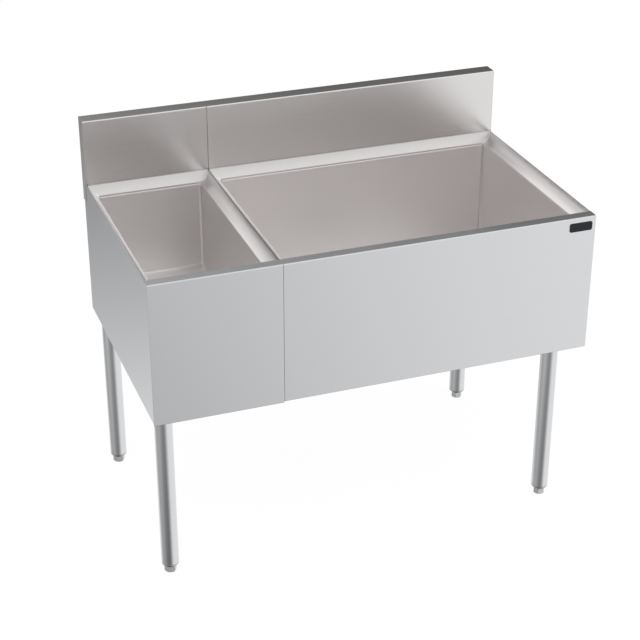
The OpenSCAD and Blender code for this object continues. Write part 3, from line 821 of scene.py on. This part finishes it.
def addLegTube(corner):
    node = "leg_tube_" + corner
    low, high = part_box(node)
    outer = (high.x - low.x) / 2
    inner = outer - leg["wall"]
    cut = leg["cut"]
    profile = [(inner, low.z), (outer - cut, low.z), (outer, low.z + cut), (outer, high.z - cut),
               (outer - cut, high.z), (inner, high.z)]
    tube = turned(profile, middleOf(node), leg["steps"])
    toPiece(tube, cornerName("legTube", corner), node, "leg_steel")


def addInsert(corner):
    node = "foot_insert_" + corner
    low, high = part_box(node)
    outer = (high.x - low.x) / 2
    plug = outer - insert["plugPlay"]
    shoulder = low.z + insert["nose"]
    cut = insert["cut"]
    small = insert["shoulderCut"]
    swell = outer - insert["noseRadius"]
    nose = []
    for k in range(insert["curve"] + 1):      # quarter of an ellipse from the nose out to the tube
        angle = pi / 2 * k / insert["curve"]
        nose.append((insert["noseRadius"] + swell * sin(angle),
                     low.z + (insert["nose"] - insert["band"]) * (1 - cos(angle))))
    bore = insert["bore"]
    profile = [(bore, low.z + cut), (bore + cut, low.z)] + nose + [
        (outer, shoulder - small), (outer - small, shoulder), (plug, shoulder), (plug, high.z - cut),
        (plug - cut, high.z), (bore + cut, high.z), (bore, high.z - cut)]
    toPiece(turned(profile, middleOf(node)), cornerName("footInsert", corner), node, "insert_alloy")


def addFoot(corner):
    node = "foot_" + corner
    low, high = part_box(node)
    hexagon = cadCopy(node)
    cutFlat(hexagon, foot["hexTop"] - foot["slack"], True)
    stem = threadedRod(middleOf(node), foot["stem"], foot["threadDepth"], foot["pitch"],
                       foot["hexTop"] - foot["sunk"], high.z)
    toPiece(joined([hexagon, stem]), cornerName("foot", corner), node, "foot_steel",
            edge=foot["soft"], smooth=40.0)


for corner in corners:
    addLegTube(corner)
    addInsert(corner)
    addFoot(corner)
print("legs done")


# leg rails with their sockets, welded on from below

rail = {"thickness": 0.0025, "bend": 0.0035, "soft": 0.0003}
socket = {"soft": 0.0004, "bead": 0.0028, "beadSink": 0.0003, "ripples": 46, "rippleHeight": 0.00022,
          "beadCurve": ((0.72, 0.3), (0.3, 0.72))}      # shares of its size, outwards and downwards


def addRail(name, node):
    low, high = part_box(node)
    bm = strip([(low.x, low.z), (low.x, high.z), (high.x, high.z), (high.x, low.z)], [low.y, high.y], "Y")
    for x in (low.x, high.x):
        rounded(bm, foldEdges(bm, (x, high.z), "Y"), rail["bend"])
    toSheetPiece(bm, name, node, "rail_steel", wall=rail["thickness"], edge=rail["soft"])


def weldBead(centre, radius, level):
    size = socket["bead"]
    sink = socket["beadSink"]
    profile = [(radius - sink, level + sink), (radius + size, level + sink)]
    profile += [(radius + size * out, level - size * down) for out, down in socket["beadCurve"]]
    profile.append((radius - sink, level - size))
    bm = turned(profile, centre, steps=socket["ripples"] * 4)
    bm.normal_update()
    for vert in bm.verts:
        angle = atan2(vert.co.y - centre[1], vert.co.x - centre[0])
        if vert.co.z < level and vert.normal.z < 0:
            vert.co += vert.normal * socket["rippleHeight"] * sin(socket["ripples"] * angle)
    return bm


def addSocket(corner):
    node = "leg_socket_" + corner
    low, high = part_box(node)
    bead = weldBead(middleOf(node), (high.x - low.x) / 2, high.z)
    toPiece(joined([cadCopy(node), bead]), cornerName("legSocket", corner), node, "rail_steel",
            edge=socket["soft"], smooth=40.0)


addRail("leftLegRail", "left_leg_rail")
addRail("rightLegRail", "right_leg_rail")
for corner in corners:
    addSocket(corner)
print("rails and sockets done")


# bottom pans: a sheet with its four sides folded down and a round hole for the drain

pan = {"notch": 0.004, "hole": 0.024}


def addPan(name, node, drain):
    low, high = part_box(node)
    notch = pan["notch"]
    xs = (low.x, low.x + notch, high.x - notch, high.x)
    ys = (low.y, low.y + notch, high.y - notch, high.y)
    cross = ((1, 0), (2, 0), (2, 1), (3, 1), (3, 2), (2, 2), (2, 3), (1, 3), (1, 2), (0, 2), (0, 1), (1, 1))
    bm = bmesh.new()
    verts = [bm.verts.new((xs[across], ys[back], high.z)) for across, back in cross]
    border = [bm.edges.new(pair) for pair in zip(verts, verts[1:] + verts[:1])]
    folds = border[::3]
    filledRound(bm, border, (*middleOf(drain), high.z), pan["hole"])
    bmesh.ops.translate(bm, verts=raised(bm, folds)[0], vec=(0, 0, low.z - high.z))
    rounded(bm, folds, sheetMetal["bend"])
    toSheetPiece(bm, name, node, "back_steel")


addPan("wellBottomPan", "well_bottom_pan", "well_drain")
addPan("binBottomPan", "bin_bottom_pan", "bin_drain")
softened("wellBackPanel", "well_back_panel", "back_steel", sheetMetal["cutEdge"])
softened("binBackPanel", "bin_back_panel", "back_steel", sheetMetal["cutEdge"])
print("pans and back panels done")


# drains: flanged fitting, loose strainer, gasket and nut

drainFitting = {"flange": 0.0016, "bore": 0.013, "neck": 0.0176, "tail": 0.0167, "tailLength": 0.032,
                "dish": 0.030, "round": 0.0006, "threadStep": 0.0018, "threadDepth": 0.0005,
                "crest": 0.25, "root": 0.75,      # their places in a thread's step
                "tailThread": 0.5, "steps": 72}
gasket = {"play": 0.0001, "bulgeSteps": 4}
drainNut = {"chamfer": 0.0014, "segments": 3, "rimShare": 0.95, "soft": 0.0003}
strainerEdge = 0.0003


def grooves(radius, top, bottom):      # a crest and a root in each step
    look = drainFitting
    step = look["threadStep"]
    points = []
    for k in range(int((top - bottom) / step)):
        points.append((radius, bottom + step * k + step * look["crest"]))
        points.append((radius - look["threadDepth"], bottom + step * k + step * look["root"]))
    return points


def addDrain(name, node):
    low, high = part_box(node)
    look = drainFitting
    under = high.z - look["flange"]
    neckEnd = low.z + look["tailLength"]
    edge = look["round"]
    outer = (high.x - low.x) / 2
    bore = look["bore"]
    profile = [(bore, low.z + edge), (bore + edge, low.z), (look["tail"] - edge * 2, low.z)]
    profile += grooves(look["tail"], low.z + look["tailLength"] * look["tailThread"], low.z + edge)
    profile += [(look["tail"], neckEnd - edge), (look["neck"] - edge, neckEnd)]
    profile += grooves(look["neck"], under - edge, neckEnd + edge)
    profile += [(look["neck"], under), (outer - edge, under), (outer, under + edge),
                (outer, high.z - edge), (outer - edge, high.z), (look["dish"], high.z)]
    profile += [(bore + edge * out, high.z - edge * down) for out, down in ((3, 1), (1, 2), (0, 4))]
    toPiece(turned(profile, middleOf(node), look["steps"]), name, node, "drain_steel", smooth=50.0)


def addGasket(name, node, drain):
    low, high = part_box(node)
    outer = (high.x - low.x) / 2
    inner = drainFitting["neck"] + gasket["play"]
    bulge = (high.z - low.z) / 2
    steps = gasket["bulgeSteps"]
    rim = [(outer - bulge * (1 - cos(angle)), (low.z + high.z) / 2 + bulge * sin(angle))
           for angle in [pi / 2 * k / steps for k in range(-steps, steps + 1)]]
    ring = turned([(inner, low.z)] + rim + [(inner, high.z)], middleOf(drain))
    toPiece(ring, name, node, "gasket_rubber")


def addDrainNut(name, node):
    bm = cadCopy(node)
    low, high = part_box(node)
    middle = Vector((*middleOf(node), 0.0))
    reach = (high.x - low.x) / 2

    def onRim(first, second):
        apart = [(Vector((spot.x, spot.y, 0.0)) - middle).length for spot in (first, second)]
        return near(first.z, second.z) and min(apart) > reach * drainNut["rimShare"]
    bmesh.ops.bevel(bm, geom=edgesWhere(bm, onRim), affect="EDGES", offset=drainNut["chamfer"],
                    segments=drainNut["segments"], profile=0.5, material=-1)
    toPiece(bm, name, node, "nut_brass", edge=drainNut["soft"], smooth=40.0)


for module in ("well", "bin"):
    addDrain(module + "Drain", module + "_drain")
    addGasket(module + "DrainGasket", module + "_drain_gasket", module + "_drain")
    addDrainNut(module + "DrainNut", module + "_drain_nut")
    softened(module + "Strainer", module + "_strainer", "strainer_steel", strainerEdge, smooth=50.0)
print("drains done")


# fasteners: each group keeps its node, one fastener built at each solid of the group

fastener = {"soft": 0.0003, "steps": 16}
bolt = {"across": 0.010, "head": 0.004, "headChamfer": 0.0005, "radius": 0.003, "threadDepth": 0.00045,
        "pitch": 0.001}
screw = {"head": 0.001, "headSteps": 24, "radius": 0.002, "threadDepth": 0.0004, "pitch": 0.0009,
         "dome": ((1.0, 0.0), (1.0, 0.25), (0.86, 0.72), (0.55, 0.95)),     # shares of radius and height
         "slotWidth": 0.0009, "slotLength": 0.0044, "slotDepth": 0.0006, "slotFrom": 0.3}


def boltAlong(length):        # head below z = 0, threaded shank above
    head = hexBlock(bolt["across"], -bolt["head"], 0.0, bolt["headChamfer"])
    shank = threadedRod((0.0, 0.0), bolt["radius"], bolt["threadDepth"], bolt["pitch"],
                        -bolt["head"] / 2, length, fastener["steps"])
    return joined([head, shank])


def addBolts(name, node, axis):
    lead = max(range(3), key=lambda k: abs(axis[k]))
    parts = []
    for low, high in solidsOf(node):
        spot = (low + high) / 2
        spot[lead] = low[lead] + bolt["head"] if axis[lead] > 0 else high[lead] - bolt["head"]
        length = high[lead] - low[lead] - bolt["head"]
        parts.append(placed(boltAlong(length), spot, axis))
    toPiece(joined(parts), name, node, "bolt_steel", smooth=40.0)


def panHead(radius, height):      # domed head with a cross recess, its flat side at z = 0
    bm = bmesh.new()
    dome = [(radius * out, -height * down) for out, down in screw["dome"]]
    verts = [bm.verts.new((x, 0.0, z)) for x, z in [(0.0, 0.0)] + dome + [(0.0, -height)]]
    edges = [bm.edges.new(pair) for pair in zip(verts, verts[1:])]
    bmesh.ops.spin(bm, geom=verts + edges, cent=(0, 0, 0), axis=(0, 0, 1), angle=2 * pi,
                   steps=screw["headSteps"], use_merge=True, use_duplicate=False)
    bmesh.ops.remove_doubles(bm, verts=bm.verts[:], dist=1e-7)
    half = screw["slotWidth"] / 2
    reach = screw["slotLength"] / 2
    axes = (Vector((1, 0, 0)), Vector((0, 1, 0)))
    cuts = [(axis, side * half) for axis in axes for side in (-1, 1)]
    cuts += [(axis, side * reach) for side in (-1, 1) for axis in axes]
    for axis, offset in cuts:
        sliced(bm, axis * offset, axis)

    def inCross(face):
        spot = face.calc_center_median()
        across = abs(spot.x) < half and abs(spot.y) < reach
        along = abs(spot.y) < half and abs(spot.x) < reach
        return spot.z < -height * screw["slotFrom"] and (across or along)
    recess = [face for face in bm.faces if inCross(face)]
    made = bmesh.ops.extrude_face_region(bm, geom=recess)["geom"]
    moved = [part for part in made if isinstance(part, bmesh.types.BMVert)]
    bmesh.ops.translate(bm, verts=moved, vec=(0, 0, screw["slotDepth"]))
    bmesh.ops.delete(bm, geom=recess, context="FACES_ONLY")
    bmesh.ops.recalc_face_normals(bm, faces=bm.faces[:])
    return bm


def addBackScrews(name, node):
    parts = []
    for low, high in solidsOf(node):
        spot = (low + high) / 2
        spot.y = high.y - screw["head"]
        head = panHead((high.x - low.x) / 2, screw["head"])
        shank = threadedRod((0.0, 0.0), screw["radius"], screw["threadDepth"], screw["pitch"],
                            -screw["head"] / 2, high.y - low.y - screw["head"], fastener["steps"])
        parts.append(placed(joined([head, shank]), spot, (0, -1, 0)))
    toPiece(joined(parts), name, node, "bolt_steel", smooth=35.0)


addBolts("moduleBolts", "module_bolts", (1, 0, 0))
addBolts("railBolts", "rail_bolts", (0, 0, 1))
for name, node in (("moduleNuts", "module_nuts"), ("railNuts", "rail_nuts")):
    softened(name, node, "bolt_steel", fastener["soft"], smooth=40.0)
addBackScrews("backPanelScrews", "back_panel_screws")
softened("socketScrews", "socket_screws", "bolt_steel", fastener["soft"], smooth=40.0)
print("fasteners done")


# blank plate near the right end of the front

plate = {"corner": 0.005, "border": 0.0014, "sink": 0.00025, "soft": 0.00025, "cornerSteps": 10}


def addPlate(name, node):
    low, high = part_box(node)
    bm = bmesh.new()
    spots = ((low.x, low.z), (high.x, low.z), (high.x, high.z), (low.x, high.z))
    verts = [bm.verts.new((x, high.y, z)) for x, z in spots]
    bm.faces.new(verts)
    bmesh.ops.bevel(bm, geom=verts, affect="VERTICES", offset=plate["corner"],
                    segments=plate["cornerSteps"], profile=0.5, material=-1)
    made = bmesh.ops.extrude_face_region(bm, geom=bm.faces[:])["geom"]
    front = [part for part in made if isinstance(part, bmesh.types.BMFace)]
    moved = [part for part in made if isinstance(part, bmesh.types.BMVert)]
    bmesh.ops.translate(bm, verts=moved, vec=(0, low.y - high.y, 0))
    bmesh.ops.recalc_face_normals(bm, faces=bm.faces[:])
    for width, depth in ((plate["border"], 0.0), (plate["sink"], -plate["sink"])):
        bmesh.ops.inset_region(bm, faces=front, thickness=width, depth=depth, use_even_offset=True)
    toPiece(bm, name, node, "plate_dark", edge=plate["soft"], smooth=40.0)


addPlate("frontPlate", "front_plate")
print("plate done")


# foam, trimmed below the lip of the tub's frame

belowLip = 0.001


def addFoam(name, node):
    top = openZ - tub["frameLap"] - belowLip
    bm = bmesh.new()
    bm.from_mesh(nodes[node].data)
    bmesh.ops.remove_doubles(bm, verts=bm.verts[:], dist=1e-6)
    sliced(bm, (0, 0, top), (0, 0, 1), clear_outer=True)
    cut = [edge for edge in bm.edges if edge.is_boundary]
    bmesh.ops.triangle_fill(bm, use_beauty=True, edges=cut)
    bmesh.ops.dissolve_limit(bm, angle_limit=sameFace, verts=bm.verts[:], edges=bm.edges[:])
    toPiece(bm, name, node, "foam")


addFoam("binInsulation", "bin_insulation")
print("foam done")


# floor, light and world

studio = {
    "floorSize": 60.0,
    "floorColour": (0.95, 0.95, 0.95),
    "cameraShare": 0.93,     # how much of the floor's white is its own light, the rest holds the shadow
    "floorGlow": 1.02,
    "plainLight": 0.8,       # what the world gives to surfaces that aren't mirrors
    "bankLimit": 1.0,        # no bank is brighter than plain white
    "key": {"place": (-2.5, -3.0, 4.0), "size": 3.0, "power": 60.0},
    "fill": {"place": (3.0, -2.0, 3.0), "size": 3.0, "power": 30.0},
    "aim": (0.0, 0.0, 0.5),
}
# what metal mirrors: soft banks of light and dark gaps between them
# azimuth from +Y towards +X, elevation and spread in degrees, strength added to the base
mirrorBase = 0.42
mirrorBanks = {
    "right": (100, 10, 109, 0.78),
    "left": (-108, 32, 73, 0.94),
    "backHigh": (3, 51, 42, 0.86),
    "floorRight": (57, -67, 77, 0.27),
    "backGap": (14, 13, 43, -0.5),
    "backGapHigh": (30, 22, 26, -0.72),
    "frontHighGap": (-152, 53, 33, -1.28),
    "frontLowGap": (-147, -74, 50, -0.64),
    "floorBack": (-20, -55, 38, 0.62),
    "leftGap": (-12, -18, 16, -0.3),
    "frontGap": (178, -32, 24, -0.14),
    "frontHigh": (168, 26, 28, 0.5),
}


def addFloor():
    bm = bmesh.new()
    bmesh.ops.create_grid(bm, x_segments=1, y_segments=1, size=studio["floorSize"] / 2)
    mesh = bpy.data.meshes.new("floor")
    bm.to_mesh(mesh)
    bm.free()
    floor = bpy.data.objects.new("floor", mesh)
    bpy.context.scene.collection.objects.link(floor)
    finish = newFinish("floorPaper")
    seen, clear, mirrored = finish.rays()
    background = seen + clear + mirrored
    paper = finish.add("BsdfDiffuse", None, {"Color": rgb(*studio["floorColour"])})
    glow = background * studio["floorGlow"]
    light = finish.add("Emission", None, {"Color": rgb(1.0, 1.0, 1.0), "Strength": glow})
    both = finish.add("MixShader", None, {0: background * studio["cameraShare"], 1: paper, 2: light})
    finish.add("OutputMaterial", None, {"Surface": both})
    mesh.materials.append(finish.owner)
    floor.visible_glossy = False     # metal mirrors the banks of light all round, below it too


def bankGlow(finish, way, bank):
    azimuth, elevation, spread, strength = bank
    level = cos(radians(elevation))
    aim = (sin(radians(azimuth)) * level, cos(radians(azimuth)) * level, sin(radians(elevation)))
    facing = finish.add("VectorMath", {"operation": "DOT_PRODUCT"}, {0: way, 1: aim}, "Value")
    return facing.ramp(cos(radians(spread)), 1.0) * strength


def addWorld():
    world = bpy.data.worlds.new("studio")
    bpy.context.scene.world = world
    finish = Finish(world)
    way = finish.add("TexCoord", output="Generated")
    seen, clear, mirrored = finish.rays()
    mirror = sum([bankGlow(finish, way, bank) for bank in mirrorBanks.values()], mirrorBase)
    mirror = mirror.between(0.0, studio["bankLimit"])
    plain = 1.0 - seen - clear - mirrored
    strength = seen + clear + mirrored * mirror + plain * studio["plainLight"]
    glow = finish.add("Background", None, {"Color": rgb(1.0, 1.0, 1.0), "Strength": strength})
    finish.add("OutputWorld", None, {"Surface": glow})


def addLamp(name, look):
    data = bpy.data.lights.new(name, "AREA")
    data.size = look["size"]
    data.energy = look["power"]
    lamp = bpy.data.objects.new(name, data)
    lamp.location = look["place"]
    aim = Vector(studio["aim"]) - lamp.location
    lamp.rotation_euler = aim.to_track_quat("-Z", "Y").to_euler()
    lamp.visible_glossy = False
    bpy.context.scene.collection.objects.link(lamp)


addFloor()
addWorld()
addLamp("keyLamp", studio["key"])
addLamp("fillLamp", studio["fill"])
bpy.context.scene.view_settings.view_transform = "Standard"
print("studio done")
